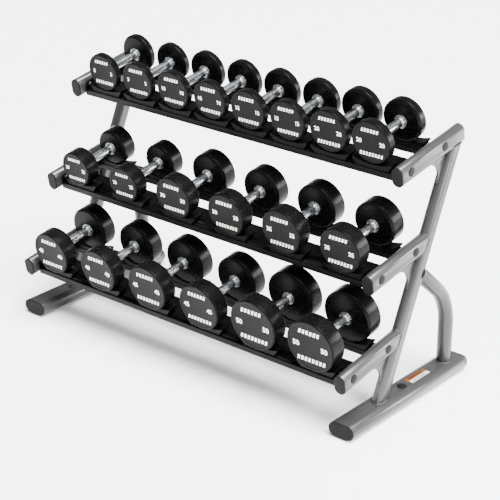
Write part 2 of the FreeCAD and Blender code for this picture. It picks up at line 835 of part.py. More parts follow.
def dumbbell_pieces(weight, tier):
    """Two heads and a handle, drawn round the handle's axis with the front face at y = 0."""
    radius = "head%s_diameter / 2" % weight
    thick = "head%s_thickness" % weight
    length = tier + "_dumbbell"
    front = new_body("head_%s_front" % weight)
    revolve(front, [
        ("0", "face_recess"),
        (radius + " - face_rim - face_recess", "face_recess"),
        (radius + " - face_rim", "0"),
        (radius + " - head_bevel", "0"),
        (radius, "head_bevel"),
        (radius, thick + " - inner_bevel"),
        (radius + " - inner_bevel", thick),
        ("0", thick),
    ])
    rear = new_body("head_%s_rear" % weight)
    revolve(rear, [
        ("0", "%s - face_recess" % length),
        (radius + " - face_rim - face_recess", "%s - face_recess" % length),
        (radius + " - face_rim", length),
        (radius + " - head_bevel", length),
        (radius, "%s - head_bevel" % length),
        (radius, "%s - %s + inner_bevel" % (length, thick)),
        (radius + " - inner_bevel", "%s - %s" % (length, thick)),
        ("0", "%s - %s" % (length, thick)),
    ])
    handle = new_body("handle_%s" % weight)
    collar_end = thick + " + collar_length"
    step_end = collar_end + " + step_length"
    revolve(handle, [
        ("0", thick),
        ("collar_diameter / 2", thick),
        ("collar_diameter / 2", collar_end),
        ("step_diameter / 2", collar_end),
        ("grip_diameter / 2", step_end),
        ("grip_diameter / 2", "%s - (%s)" % (length, step_end)),
        ("step_diameter / 2", "%s - (%s)" % (length, collar_end)),
        ("collar_diameter / 2", "%s - (%s)" % (length, collar_end)),
        ("collar_diameter / 2", "%s - %s" % (length, thick)),
        ("0", "%s - %s" % (length, thick)),
    ])
    return [front, rear, handle]


def axis_point(tier, weight):
    """The front end of a dumbbell's axis in the frame of the rack, as (y, z) formulas."""
    lift = "(saddle_floor + head_clearance + head%s_diameter / 2)" % weight
    back = tier + "_overhang"
    y = "centre_shift + %s_front + %s * cos(arm_tilt) - %s * sin(arm_tilt)" % (tier, back, lift)
    z = "%s_level + %s * sin(arm_tilt) + %s * cos(arm_tilt)" % (tier, back, lift)
    return y, z


for tier, (count, weights) in TIERS.items():
    seat = 0
    for weight in weights:
        pieces = dumbbell_pieces(weight, tier)
        y, z = axis_point(tier, weight)
        for twin in ("a", "b"):
            dumbbell = group("dumbbell_%s_%s" % (weight, twin), pieces)
            across = "%s_pitch * (%d - %d / 2)" % (tier, seat, count - 1)
            place(dumbbell, (across, y, z), "arm_tilt")
            keep(dumbbell)
            seat += 1

# ---------------------------------------------------------------- checks and export

doc.recompute()
for thing in doc.Objects:
    if "Invalid" in thing.State or "Error" in thing.State:
        raise RuntimeError(thing.Name + " failed: " + str(thing.State))
for node in NODES:
    if node.Shape.isNull() or not node.Shape.isValid() or not node.Shape.Solids:
        raise RuntimeError(node.Label + " has no valid shape")

os.makedirs("parts", exist_ok=True)
for node in NODES:
    node.Shape.exportStep("parts/" + node.Label + ".step")
    print(node.Label, len(node.Shape.Solids), "solids,", round(node.Shape.Volume / 1000.0, 1), "cm3")
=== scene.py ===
# %% [markdown]
# # A three-tier dumbbell rack
#
# The rack has two welded side frames of flat-oval steel tube, three sloping tiers of folded
# steel rails with moulded saddles, and ten pairs of round dumbbells.  The engineering model
# comes in as a frame that stays where it is.  This script gives each part its visible shape
# and its finish.  Lengths are in metres: +X runs along the rack, +Y to the rear, +Z up.

import math

import bmesh
import bpy
import numpy as np
from mathutils import Matrix, Vector


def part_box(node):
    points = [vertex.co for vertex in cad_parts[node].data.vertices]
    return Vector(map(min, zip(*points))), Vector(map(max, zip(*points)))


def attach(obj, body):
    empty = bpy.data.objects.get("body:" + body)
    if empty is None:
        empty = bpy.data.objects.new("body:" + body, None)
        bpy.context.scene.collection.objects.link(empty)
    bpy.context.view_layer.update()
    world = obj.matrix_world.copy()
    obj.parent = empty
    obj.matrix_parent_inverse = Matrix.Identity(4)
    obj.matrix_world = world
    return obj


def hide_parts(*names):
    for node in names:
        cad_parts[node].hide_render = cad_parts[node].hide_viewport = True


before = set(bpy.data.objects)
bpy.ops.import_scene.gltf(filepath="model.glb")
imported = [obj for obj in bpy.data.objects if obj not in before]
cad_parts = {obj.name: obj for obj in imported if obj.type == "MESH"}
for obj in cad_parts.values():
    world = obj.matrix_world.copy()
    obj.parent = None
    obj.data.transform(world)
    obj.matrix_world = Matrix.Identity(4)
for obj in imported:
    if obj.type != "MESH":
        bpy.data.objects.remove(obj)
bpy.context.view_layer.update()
MM = 0.001

# %% [markdown]
# The tiers slope, so that the front of each row is lower and the weights slide to rest.
# Measuring and building are much easier in a frame that slopes with them: y along the arm
# and z square to it.  `SLOPE` turns that frame into the rack's own.

# %% The sloping frame of the tiers
TILT = math.radians(9.8)
LEAN = math.radians(24.6)
BRACE_BEND = math.radians(48.8)
SLOPE = Matrix.Rotation(TILT, 4, "X")


def points_of(node):
    """A node's vertices as an array, in the rack's frame."""
    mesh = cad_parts[node].data
    spots = np.empty(len(mesh.vertices) * 3, np.float32)
    mesh.vertices.foreach_get("co", spots)
    return spots.reshape(-1, 3).astype(float)


def sloped(spots):
    """The same points in the sloping frame."""
    turn = np.array(SLOPE.to_3x3())
    return spots @ turn


arm = sloped(points_of("right_middle_arm"))
ARM_WIDTH = np.ptp(arm[:, 0])
ARM_HEIGHT = np.ptp(arm[:, 2])
print("arm section in mm:", round(ARM_WIDTH / MM, 1), round(ARM_HEIGHT / MM, 1))

# %% [markdown]
# Node trees are the same kind of thing whether they make a material or a mesh: boxes with
# sockets.  One small function adds a box, sets its options and fills or links its inputs.
# Everything later in this file uses it.

# %% One function for every node


def node(tree, kind, inputs=None, **settings):
    """Add a node.  An input is a value, a socket, or a node, which means its first output."""
    made = tree.nodes.new(kind)
    for name, value in settings.items():
        setattr(made, name, value)
    for key, value in (inputs or {}).items():
        if isinstance(value, bpy.types.Node):
            value = value.outputs[0]
        if isinstance(value, bpy.types.NodeSocket):
            tree.links.new(value, made.inputs[key])
        else:
            made.inputs[key].default_value = value
    return made


def linear(code):
    """An sRGB hex colour as linear red, green, blue and alpha."""
    parts = [int(code[i:i + 2], 16) / 255 for i in (1, 3, 5)]
    light = [c / 12.92 if c <= 0.04045 else ((c + 0.055) / 1.055) ** 2.4 for c in parts]
    return (*light, 1.0)


# %% [markdown]
# ## Finishes
#
# Every finish has the same build: one grain tints its colour, one varies its roughness and one
# raises small bumps.  A pattern's scale in Blender counts repeats in a metre, so it is worked
# out from the real size of one grain in millimetres.  The studio is very bright, so colours
# and the shine of the clear skins are set darker than a sample held in the hand would look.

# %% Helpers for materials


def new_finish(name):
    """A material that is only a Principled shader: returns it, its tree and the shader."""
    material = bpy.data.materials.new(name)
    material.use_nodes = True
    tree = material.node_tree
    tree.nodes.clear()
    shader = node(tree, "ShaderNodeBsdfPrincipled")
    node(tree, "ShaderNodeOutputMaterial", {"Surface": shader})
    return material, tree, shader


def grain(tree, size_mm, detail, stretch=(1, 1, 1)):
    """Noise whose blobs are about size_mm across, fixed to the object."""
    place = node(tree, "ShaderNodeTexCoord")
    turned = node(tree, "ShaderNodeMapping", {"Vector": place.outputs["Object"], "Scale": stretch})
    return node(tree, "ShaderNodeTexNoise", {
        "Vector": turned, "Scale": 1 / (size_mm * MM), "Detail": detail,
    })


def make_finish(name, colours, colour_grain, roughness=None, rough_grain=None, bumps=None,
                bump_grain=None, stops=(0.3, 0.7), numbers=None):
    """A finish whose colour, roughness and bumps each follow a grain: (mm, detail, stretch).

    Colours and roughness run from the first value to the second as the noise goes between the
    stops.  Bumps are (strength, depth in mm), and numbers go straight to the shader's sockets.
    """
    material, tree, shader = new_finish(name)
    ramp = node(tree, "ShaderNodeValToRGB", {"Fac": grain(tree, *colour_grain)})
    for stop, place, code in zip(ramp.color_ramp.elements, stops, colours):
        stop.position, stop.color = place, linear(code)
    tree.links.new(ramp.outputs["Color"], shader.inputs["Base Color"])
    if roughness:
        gloss = node(tree, "ShaderNodeMapRange", {
            "Value": grain(tree, *rough_grain), "From Min": 0.3, "From Max": 0.7,
            "To Min": roughness[0], "To Max": roughness[1],
        })
        tree.links.new(gloss.outputs["Result"], shader.inputs["Roughness"])
    if bumps:
        relief = node(tree, "ShaderNodeBump", {
            "Height": grain(tree, *bump_grain), "Strength": bumps[0], "Distance": bumps[1] * MM,
        })
        tree.links.new(relief.outputs["Normal"], shader.inputs["Normal"])
    for socket, number in (numbers or {}).items():
        shader.inputs[socket].default_value = number
    print("finish:", name)
    return material


# %% [markdown]
# The side frames wear a silver polyester powder coat.  The powder melts into a skin with a
# faint orange peel, 1 to 2 mm across, and metal flakes in it give a soft metallic sheen.
# A third of the metallic value under a thin satin coat shows both.

# %% Silver powder coat
SILVER = make_finish(
    "silver_powder_coat",
    colours=("#2c2c2c", "#383838"), colour_grain=(1.1, 1.0),
    roughness=(0.28, 0.35), rough_grain=(90.0, 2.0),
    bumps=(0.12, 0.25), bump_grain=(2.2, 1.0),
    numbers={
        "Metallic": 0.3, "Specular IOR Level": 0.35, "Coat Weight": 0.2, "Coat Roughness": 0.15,
    },
)

# %% [markdown]
# The rails and end plates have a black powder coat with a fine texture, which hides scratches.
# It is a dielectric: black under a rough clear skin, so it only greys where light grazes it.

# %% Black textured powder coat
BLACK = make_finish(
    "black_powder_coat",
    colours=("#030303", "#060606"), colour_grain=(60.0, 2.0),
    roughness=(0.4, 0.52), rough_grain=(1.6, 3.0),
    bumps=(0.25, 0.2), bump_grain=(1.6, 3.0),
    numbers={"Specular IOR Level": 0.06},
)

# %% [markdown]
# The heads are iron cast in polyurethane.  Cast urethane is a dense rubber, nearly black, with
# a faint mottle and tiny mould grain.  Its skin is smooth enough to catch one soft streak of
# light along the side of a head, broken by the odd dusty rub mark from use.

# %% Cast urethane
URETHANE = make_finish(
    "cast_urethane",
    colours=("#050505", "#090909"), colour_grain=(25.0, 4.0),
    roughness=(0.2, 0.33), rough_grain=(14.0, 6.0, (1, 1, 5)),
    bumps=(0.07, 0.06), bump_grain=(1.4, 3.0),
    numbers={"Specular IOR Level": 0.06},
)

# %% [markdown]
# The handles are steel bars plated with hard chrome: fully metallic, and a little cloudy where
# hands have polished the knurling.  Turning leaves faint rings round the collars.

# %% Hard chrome
CHROME = make_finish(
    "hard_chrome",
    colours=("#8b8c8e", "#9d9ea0"), colour_grain=(9.0, 4.0),
    roughness=(0.24, 0.36), rough_grain=(9.0, 4.0),
    bumps=(0.06, 0.05), bump_grain=(1.2, 2.0, (0.15, 3, 0.15)),
    numbers={"Metallic": 1.0},
)

# %% [markdown]
# The marks on the heads are a thick white ink, printed and baked.  It is not quite even: the
# ink thins a little where the screen's mesh was clogged.

# %% White screen ink
INK = make_finish(
    "white_screen_ink",
    colours=("#dedede", "#f6f6f4"), colour_grain=(3.0, 4.0), stops=(0.25, 0.45),
    roughness=(0.45, 0.6), rough_grain=(3.0, 4.0),
)

# %% [markdown]
# Saddles are moulded in black polypropylene with a spark-eroded grain, and caps and plugs in a
# dark grey polyethylene that is smoother.  Both are plastics, so they stay unmetallic, and only
# colour, grain size and gloss tell them apart.

# %% Moulded plastics
SADDLE_PLASTIC = make_finish(
    "black_polypropylene",
    colours=("#030303", "#060606"), colour_grain=(40.0, 3.0),
    roughness=(0.4, 0.5), rough_grain=(1.3, 3.0),
    bumps=(0.2, 0.12), bump_grain=(1.3, 3.0),
    numbers={"Specular IOR Level": 0.06},
)
CAP_PLASTIC = make_finish(
    "dark_grey_polyethylene",
    colours=("#0f0f10", "#151516"), colour_grain=(40.0, 3.0),
    roughness=(0.45, 0.55), rough_grain=(1.8, 3.0),
    bumps=(0.2, 0.12), bump_grain=(1.8, 3.0),
    numbers={"Specular IOR Level": 0.06},
)

# %% [markdown]
# The feet stand on EPDM rubber pads.  Rubber scatters light in its rough skin, so it is the
# flattest black here, greyed by a bloom of dust.  The bolts under the rails are zinc plated:
# a bluish, slightly spangled metal.

# %% Rubber and zinc
RUBBER = make_finish(
    "epdm_rubber",
    colours=("#141414", "#232322"), colour_grain=(8.0, 5.0),
    bumps=(0.3, 0.2), bump_grain=(1.1, 2.0),
    numbers={"Roughness": 0.85},
)
ZINC = make_finish(
    "zinc_plated_steel",
    colours=("#9fa3a8", "#bcc0c4"), colour_grain=(2.5, 3.0),
    roughness=(0.28, 0.42), rough_grain=(2.5, 3.0),
    numbers={"Metallic": 1.0},
)

# %% [markdown]
# ## Turning CAD tubes and plates into finished ones
#
# The tubes, plates and caps already have their true shape in the frame.  Their meshes are loose
# triangles, so a copy is welded together, its round stretches are shaded smooth, and a small
# Bevel gives each folded or cut edge the radius that catches light on real steel.

# %% Finished copies of CAD parts


def settle(piece, body, nodes, material):
    """Give a piece its finish, the body it moves with and the CAD nodes it stands for."""
    piece.data.materials.clear()
    piece.data.materials.append(material)
    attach(piece, body)
    if nodes:
        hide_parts(*nodes)


def new_piece(name, mesh):
    piece = bpy.data.objects.new(name, mesh)
    bpy.context.scene.collection.objects.link(piece)
    return piece


def soften(piece, edge_mm, angle=35.0):
    """Round the sharp edges of a piece and shade the rest smooth."""
    piece.data.shade_smooth()
    bevel = piece.modifiers.new("edge", "BEVEL")
    bevel.width = edge_mm * MM
    bevel.segments = 2
    bevel.limit_method = "ANGLE"
    bevel.angle_limit = math.radians(angle)
    bevel.harden_normals = True


def weld_vertices(mesh, near=0.00002):
    """Merge vertices that lie together."""
    work = bmesh.new()
    work.from_mesh(mesh)
    bmesh.ops.remove_doubles(work, verts=work.verts, dist=near)
    work.to_mesh(mesh)
    work.free()


def finish_cad(cad_node, material, edge_mm, angle=35.0):
    """Show a CAD node as a welded, smoothed and bevelled copy."""
    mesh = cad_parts[cad_node].data.copy()
    mesh.name = cad_node + "_finished"
    weld_vertices(mesh)
    piece = new_piece(cad_node + "_finished", mesh)
    soften(piece, edge_mm, angle)
    settle(piece, "rack", [cad_node], material)
    return piece


PLAIN = []
for side in ("left", "right"):
    for stem in ("foot_tube", "upright_tube", "rear_brace", "gussets",
                 "top_arm", "middle_arm", "bottom_arm"):
        PLAIN.append((side + "_" + stem, SILVER, "silver_paint", 0.5))
PLAIN.append(("rear_caps", SILVER, "silver_paint", 0.5))
for tier in ("top", "middle", "bottom"):
    for stem in ("front_rail", "rear_rail", "end_plates"):
        PLAIN.append((tier + "_" + stem, BLACK, "black_paint", 1.0))
for stem in ("arm_front_caps", "foot_front_caps", "foot_plugs"):
    PLAIN.append((stem, CAP_PLASTIC, "dark_plastic", 0.5))
PLAIN.append(("foot_pads", RUBBER, "rubber", 0.8))
for stem in ("rail_nuts", "rail_bolts"):
    PLAIN.append((stem, ZINC, "zinc_steel", 0.3))
for cad_node, material, slot, edge_mm in PLAIN:
    finish_cad(cad_node, material, edge_mm)
print("finished copies:", len(PLAIN))

# %% [markdown]
# ## Geometry Nodes
#
# What repeats is grown by a Geometry Nodes tree.  `grow` gives a tree its named sizes, lets
# Blender evaluate it once and keeps the result as a plain mesh, so nothing stays live.

# %% Growing a mesh from a tree


def new_tree(name, sizes):
    """A Geometry Nodes tree with a geometry input, named sizes and a material."""
    tree = bpy.data.node_groups.new(name, "GeometryNodeTree")
    tree.interface.new_socket("Geometry", in_out="INPUT", socket_type="NodeSocketGeometry")
    for size_name, kind in sizes.items():
        tree.interface.new_socket(size_name, in_out="INPUT", socket_type="NodeSocket" + kind)
    tree.interface.new_socket("Finish", in_out="INPUT", socket_type="NodeSocketMaterial")
    tree.interface.new_socket("Geometry", in_out="OUTPUT", socket_type="NodeSocketGeometry")
    return tree, node(tree, "NodeGroupInput").outputs


def end_tree(tree, given, geometry):
    """Realize the instances, set the material and end the tree."""
    real = node(tree, "GeometryNodeRealizeInstances", {"Geometry": geometry})
    painted = node(tree, "GeometryNodeSetMaterial", {"Geometry": real, "Material": given["Finish"]})
    node(tree, "NodeGroupOutput", {"Geometry": painted})


def grow(tree, name, values, finish, seed_mesh=None):
    """The mesh that a tree makes from its sizes and, where given, from a starting mesh."""
    carrier = new_piece(name + "_carrier", seed_mesh or bpy.data.meshes.new(name))
    modifier = carrier.modifiers.new("grow", "NODES")
    modifier.node_group = tree
    settings = dict(values, Finish=finish)
    for item in tree.interface.items_tree:
        if item.in_out == "INPUT" and item.name in settings:
            modifier[item.identifier] = settings[item.name]
    bpy.context.view_layer.update()
    ready = bpy.context.evaluated_depsgraph_get()
    mesh = bpy.data.meshes.new_from_object(carrier.evaluated_get(ready), depsgraph=ready)
    mesh.name = name
    bpy.data.objects.remove(carrier)
    return mesh


MATH = "ShaderNodeMath"

# %% [markdown]
# ### Measuring the dumbbells
#
# Each dumbbell is measured from its CAD solid in the sloping frame: the middle of the handle,
# the heads' radius, both ends, and how thick a head is.

# %% Measure every dumbbell
ROWS = {
    "top": ["05", "10", "15", "20"],
    "middle": ["25", "30", "35"],
    "bottom": ["40", "45", "50"],
}


def measure_dumbbell(cad_node):
    spots = sloped(points_of(cad_node))
    low, high = spots.min(0), spots.max(0)
    radius = (high[2] - low[2]) / 2
    axis = np.array([(low[0] + high[0]) / 2, 0.0, (low[2] + high[2]) / 2])
    out = np.hypot(spots[:, 0] - axis[0], spots[:, 2] - axis[2])
    half = (low[1] + high[1]) / 2
    grip = spots[(out > 0.4 * radius) & (spots[:, 1] < half), 1]
    return {
        "x": axis[0], "z": axis[2], "radius": radius,
        "start": low[1], "end": high[1], "thick": grip.max() - low[1],
    }


DUMBBELLS = {}
for weights in ROWS.values():
    for weight in weights:
        for twin in "ab":
            DUMBBELLS[weight, twin] = measure_dumbbell("dumbbell_%s_%s" % (weight, twin))
print("head radius and thickness of the heaviest, mm:",
      round(DUMBBELLS["50", "a"]["radius"] / MM, 1), round(DUMBBELLS["50", "a"]["thick"] / MM, 1))

# %% [markdown]
# ### Heads
#
# A head is a turned shape, so half its outline is enough.  The outline is a list of corners,
# each with a rounding; `rounded` turns every corner into a short arc, and `lathe` spins the
# result into a closed mesh.  The outer face has a shallow dish inside a narrow rim.

# %% Corner rounding and a lathe


def rounded(corners, steps=4):
    """Replace each corner (radius, along, rounding) by points on an arc."""
    line = []
    for i, (r, a, rounding) in enumerate(corners):
        here = Vector((r, a))
        if rounding == 0 or i in (0, len(corners) - 1):
            line.append(here)
            continue
        before = Vector(corners[i - 1][:2]) - here
        after = Vector(corners[i + 1][:2]) - here
        reach = min(rounding, before.length * 0.45, after.length * 0.45)
        first = here + before.normalized() * reach
        last = here + after.normalized() * reach
        for step in range(steps + 1):
            t = step / steps
            line.append(first * (1 - t) ** 2 + here * 2 * t * (1 - t) + last * t ** 2)
    return line


def lathe(line, segments=96):
    """Spin a half outline round the y axis; it starts and ends on the axis."""
    spots = [(0.0, line[0].y, 0.0)]
    rings = line[1:-1]
    for point in rings:
        for k in range(segments):
            angle = 2 * math.pi * k / segments
            spots.append((point.x * math.cos(angle), point.y, point.x * math.sin(angle)))
    spots.append((0.0, line[-1].y, 0.0))
    last = len(spots) - 1
    faces = []
    for k in range(segments):
        after = (k + 1) % segments
        faces.append((0, 1 + k, 1 + after))
        for ring in range(len(rings) - 1):
            a = 1 + ring * segments
            b = a + segments
            faces.append((a + k, b + k, b + after, a + after))
        a = 1 + (len(rings) - 1) * segments
        faces.append((a + k, last, a + after))
    return spots, faces


def closed_mesh(name, parts):
    """One mesh of several (points, faces) parts, with outward faces and smooth shading."""
    spots = []
    faces = []
    for part_spots, part_faces in parts:
        base = len(spots)
        spots.extend(part_spots)
        faces.extend(tuple(base + v for v in face) for face in part_faces)
    mesh = bpy.data.meshes.new(name)
    mesh.from_pydata(spots, [], faces)
    turn_outward(mesh)
    mesh.shade_smooth()
    mesh.set_sharp_from_angle(angle=math.radians(40))
    return mesh


def turn_outward(mesh):
    work = bmesh.new()
    work.from_mesh(mesh)
    bmesh.ops.recalc_face_normals(work, faces=work.faces)
    work.to_mesh(mesh)
    work.free()


HEAD_ALLOWANCE = 0.2 * MM  # how far a head's side stays inside its engineering solid
HEAD_DISH = 1.0 * MM
HEAD_RIM = 9.0 * MM


def head_outline(radius, thick):
    """From the middle of the dished face, over the rim, to the middle of the inner face."""
    return rounded([
        (0, HEAD_DISH, 0),
        (radius - HEAD_RIM - 1.0 * MM, HEAD_DISH, 0.6 * MM),
        (radius - HEAD_RIM, 0, 0.6 * MM),
        (radius - 3.2 * MM, 0, 1.2 * MM),
        (radius, 3.2 * MM, 1.2 * MM),
        (radius, thick - 7 * MM, 1.8 * MM),
        (radius - 7 * MM, thick, 1.8 * MM),
        (0, thick, 0),
    ])


def flip_end(line, length):
    """The same outline seen from the other end of the dumbbell."""
    return [Vector((p.x, length - p.y)) for p in line]


print("outline points of a head:", len(head_outline(0.09, 0.06)))

# %% [markdown]
# ### Knurled handles
#
# Knurling is two crossing sets of fine grooves rolled into the bar.  A Geometry Nodes tree
# wraps a flat grid round the bar and sinks each vertex by its distance from the nearest
# groove.  The grooves are 3 mm apart, which is a coarse knurl.

# %% The knurled grip tree


def knurl_tree():
    tree, given = new_tree("knurled_grip", {
        "Length": "Float", "Radius": "Float", "Depth": "Float",
        "Grooves": "Float", "Rings": "Int", "Around": "Int",
    })
    sheet = node(tree, "GeometryNodeMeshGrid", {
        "Size X": 1.0, "Size Y": 1.0, "Vertices X": given["Rings"], "Vertices Y": given["Around"],
    })
    position = node(tree, "GeometryNodeInputPosition")
    spot = node(tree, "ShaderNodeSeparateXYZ", {"Vector": position}).outputs
    turn = node(tree, MATH, {0: spot["Y"], 1: 2 * math.pi}, operation="MULTIPLY")
    along = node(tree, MATH, {0: spot["X"], 1: given["Length"]}, operation="MULTIPLY")

    # the two sets of grooves wind round the bar in opposite directions
    travel = node(tree, MATH, {0: along, 1: given["Radius"]}, operation="DIVIDE")
    waves = {}
    for key, winding in enumerate(("ADD", "SUBTRACT")):
        crossing = node(tree, MATH, {0: turn, 1: travel}, operation=winding)
        counted = node(tree, MATH, {0: crossing, 1: given["Grooves"]}, operation="MULTIPLY")
        phase = node(tree, MATH, {0: counted, 1: 0.5}, operation="MULTIPLY")
        wave = node(tree, MATH, {0: phase}, operation="SINE")
        waves[key] = node(tree, MATH, {0: wave}, operation="ABSOLUTE")
    ridge = node(tree, MATH, waves, operation="MINIMUM")
    groove = node(tree, MATH, {0: 1.0, 1: ridge}, operation="SUBTRACT")
    sink = node(tree, MATH, {0: groove, 1: given["Depth"]}, operation="MULTIPLY")
    knurled = node(tree, MATH, {0: given["Radius"], 1: sink}, operation="SUBTRACT")

    # the ends are plain, and the last ring closes on the axis
    out = node(tree, MATH, {0: spot["X"]}, operation="ABSOLUTE")
    plain_end = node(tree, "FunctionNodeCompare", {"A": out, "B": 0.46}, operation="GREATER_THAN")
    last_ring = node(tree, "FunctionNodeCompare", {"A": out, "B": 0.4999}, operation="GREATER_THAN")
    body = node(tree, "GeometryNodeSwitch", {
        "Switch": plain_end, "False": knurled, "True": given["Radius"],
    }, input_type="FLOAT")
    radius = node(tree, "GeometryNodeSwitch", {
        "Switch": last_ring, "False": body, "True": 0.0,
    }, input_type="FLOAT")
    place = {"Y": along}
    for axis, wave in (("X", "COSINE"), ("Z", "SINE")):
        share = node(tree, MATH, {0: turn}, operation=wave)
        place[axis] = node(tree, MATH, {0: radius, 1: share}, operation="MULTIPLY")
    wrapped = node(tree, "GeometryNodeSetPosition", {
        "Geometry": sheet, "Position": node(tree, "ShaderNodeCombineXYZ", place),
    })
    closed = node(tree, "GeometryNodeMergeByDistance", {"Geometry": wrapped, "Distance": 0.00001})
    end_tree(tree, given, node(tree, "GeometryNodeSetShadeSmooth", {"Geometry": closed}))
    return tree


KNURL = knurl_tree()
GRIP_RADIUS = 15 * MM
COLLARS = [
    # radius, from the head's inner face, rounding
    (23.0 * MM, 0.0, 0.0),
    (23.0 * MM, 5.0 * MM, 1.2 * MM),
    (19.0 * MM, 6.2 * MM, 0.8 * MM),
    (19.0 * MM, 10.0 * MM, 1.0 * MM),
    (17.0 * MM, 11.5 * MM, 0.6 * MM),
    (17.0 * MM, 14.5 * MM, 1.0 * MM),
    (15.4 * MM, 16.0 * MM, 0.4 * MM),
]
print("knurl tree nodes:", len(KNURL.nodes))

# %% The handle of one weight


def collar_parts(inner_start, inner_end):
    """The stepped collars at both heads, as closed turned shapes."""
    near = [(0.0, inner_start, 0.0)] + [(r, inner_start + a, c) for r, a, c in COLLARS]
    near.append((0.0, near[-1][1], 0.0))
    far = [(r, inner_start + inner_end - a, c) for r, a, c in near]
    return [lathe(rounded(near, 2), 64), lathe(rounded(far, 2), 64)]


def handle_mesh(weight, length, thick):
    """Knurled bar and collars, from one head's inner face to the other's."""
    collars = closed_mesh("collars_" + weight, collar_parts(thick, length - thick))
    bar = length - 2 * thick - 8 * MM
    grip = grow(KNURL, "grip_" + weight, {
        "Length": bar, "Radius": GRIP_RADIUS, "Depth": 0.35 * MM, "Grooves": 32.0,
        "Rings": int(bar / (1.1 * MM)), "Around": 129,
    }, CHROME)
    grip.transform(Matrix.Translation((0, length / 2, 0)))
    turn_outward(grip)
    return join_meshes("handle_" + weight, [collars, grip], CHROME)


def join_meshes(name, meshes, finish):
    """Several meshes as one, with one finish."""
    work = bmesh.new()
    for mesh in meshes:
        work.from_mesh(mesh)
    joined = bpy.data.meshes.new(name)
    work.to_mesh(joined)
    work.free()
    joined.materials.append(finish)
    for polygon in joined.polygons:
        polygon.material_index = 0
    return joined


# %% [markdown]
# ### Marks on the faces
#
# Each face carries its weight twice, left and right of the middle, and a decorative row of
# slanted bars above and below.  Numbers are text turned into a thin mesh.  The bars repeat, so
# a tree places one bar on the points of a line and shears the row.

# %% The tree of slanted bars


def bar_tree():
    tree, given = new_tree("slanted_bars", {
        "Count": "Int", "Pitch": "Float", "Bar width": "Float", "Bar height": "Float",
        "Thickness": "Float", "Slant": "Float",
    })
    size = node(tree, "ShaderNodeCombineXYZ", {
        "X": given["Bar width"], "Y": given["Thickness"], "Z": given["Bar height"],
    })
    bar = node(tree, "GeometryNodeMeshCube", {"Size": size})
    gaps = node(tree, MATH, {0: given["Count"], 1: 1.0}, operation="SUBTRACT")
    length = node(tree, MATH, {0: gaps, 1: given["Pitch"]}, operation="MULTIPLY")
    left = node(tree, MATH, {0: length, 1: -0.5}, operation="MULTIPLY")
    line = node(tree, "GeometryNodeMeshLine", {
        "Count": given["Count"],
        "Start Location": node(tree, "ShaderNodeCombineXYZ", {"X": left}),
        "Offset": node(tree, "ShaderNodeCombineXYZ", {"X": given["Pitch"]}),
    })
    row = node(tree, "GeometryNodeInstanceOnPoints", {"Points": line, "Instance": bar})
    real = node(tree, "GeometryNodeRealizeInstances", {"Geometry": row})
    position = node(tree, "GeometryNodeInputPosition")
    spot = node(tree, "ShaderNodeSeparateXYZ", {"Vector": position}).outputs
    lean = node(tree, MATH, {0: spot["Z"], 1: given["Slant"]}, operation="MULTIPLY")
    slanted = node(tree, "GeometryNodeSetPosition", {
        "Geometry": real, "Offset": node(tree, "ShaderNodeCombineXYZ", {"X": lean}),
    })
    end_tree(tree, given, slanted)
    return tree


BARS = bar_tree()
INK_THICKNESS = 0.5 * MM
print("bar tree nodes:", len(BARS.nodes))

# %% Numbers as thin meshes
DIGIT_SHARE = 0.72  # a digit's height as a share of the font's size
DIGIT_SWELL = 0.045  # how much bolder than the font, as a share of the height


def number_mesh(text, height):
    """A bold number in the XZ plane, facing -Y, centred on the origin."""
    curve = bpy.data.curves.new("number_" + text, "FONT")
    curve.body = text
    curve.align_x = "CENTER"
    curve.align_y = "CENTER"
    curve.size = height / DIGIT_SHARE
    curve.offset = height * DIGIT_SWELL
    curve.extrude = INK_THICKNESS / 2
    curve.resolution_u = 3
    carrier = new_piece("number_carrier", curve)
    bpy.context.view_layer.update()
    ready = bpy.context.evaluated_depsgraph_get()
    mesh = bpy.data.meshes.new_from_object(carrier.evaluated_get(ready), depsgraph=ready)
    bpy.data.objects.remove(carrier)
    weld_vertices(mesh)
    mesh.transform(Matrix.Rotation(math.radians(90), 4, "X"))
    return mesh


def face_marks(weight, radius):
    """Numbers and bars of one face, centred on the axis and lying in the XZ plane."""
    parts = []
    for sign in (-1, 1):
        number = number_mesh(str(int(weight)), 0.2 * radius)
        number.transform(Matrix.Translation((sign * 0.6 * radius, 0, 0)))
        parts.append(number)
    for count, level in ((6, 0.56), (8, -0.56)):
        pitch = 0.155 * radius
        row = grow(BARS, "bars_" + weight, {
            "Count": count, "Pitch": pitch, "Bar width": 0.62 * pitch,
            "Bar height": 0.17 * radius, "Thickness": INK_THICKNESS, "Slant": 0.25,
        }, INK)
        row.transform(Matrix.Translation((0, 0, level * radius)))
        parts.append(row)
    return join_meshes("face_marks_" + weight, parts, INK)


# %% [markdown]
# ### Putting a dumbbell together
#
# Everything for one weight is drawn once round its own axis.  Two copies of the meshes are
# then moved into place, one for each of the pair, and ride on that dumbbell's body.

# %% Build and place the dumbbells


def place_copy(mesh, spot, name):
    """A copy of a mesh moved from the dumbbell's own frame into the rack's."""
    moved = mesh.copy()
    moved.name = name
    moved.transform(SLOPE @ Matrix.Translation((spot["x"], spot["start"], spot["z"])))
    return new_piece(name, moved)


def dumbbell_meshes(weight, spot):
    length = spot["end"] - spot["start"]
    front = head_outline(spot["radius"] - HEAD_ALLOWANCE, spot["thick"])
    heads = closed_mesh("heads_" + weight, [lathe(front), lathe(flip_end(front, length))])
    marks = face_marks(weight, spot["radius"])
    front_marks = marks.copy()
    front_marks.transform(Matrix.Translation((0, HEAD_DISH, 0)))
    facing_back = Matrix.Rotation(math.pi, 4, "Z")
    marks.transform(Matrix.Translation((0, length - HEAD_DISH, 0)) @ facing_back)
    both = join_meshes("marks_" + weight, [front_marks, marks], INK)
    return heads, handle_mesh(weight, length, spot["thick"]), both


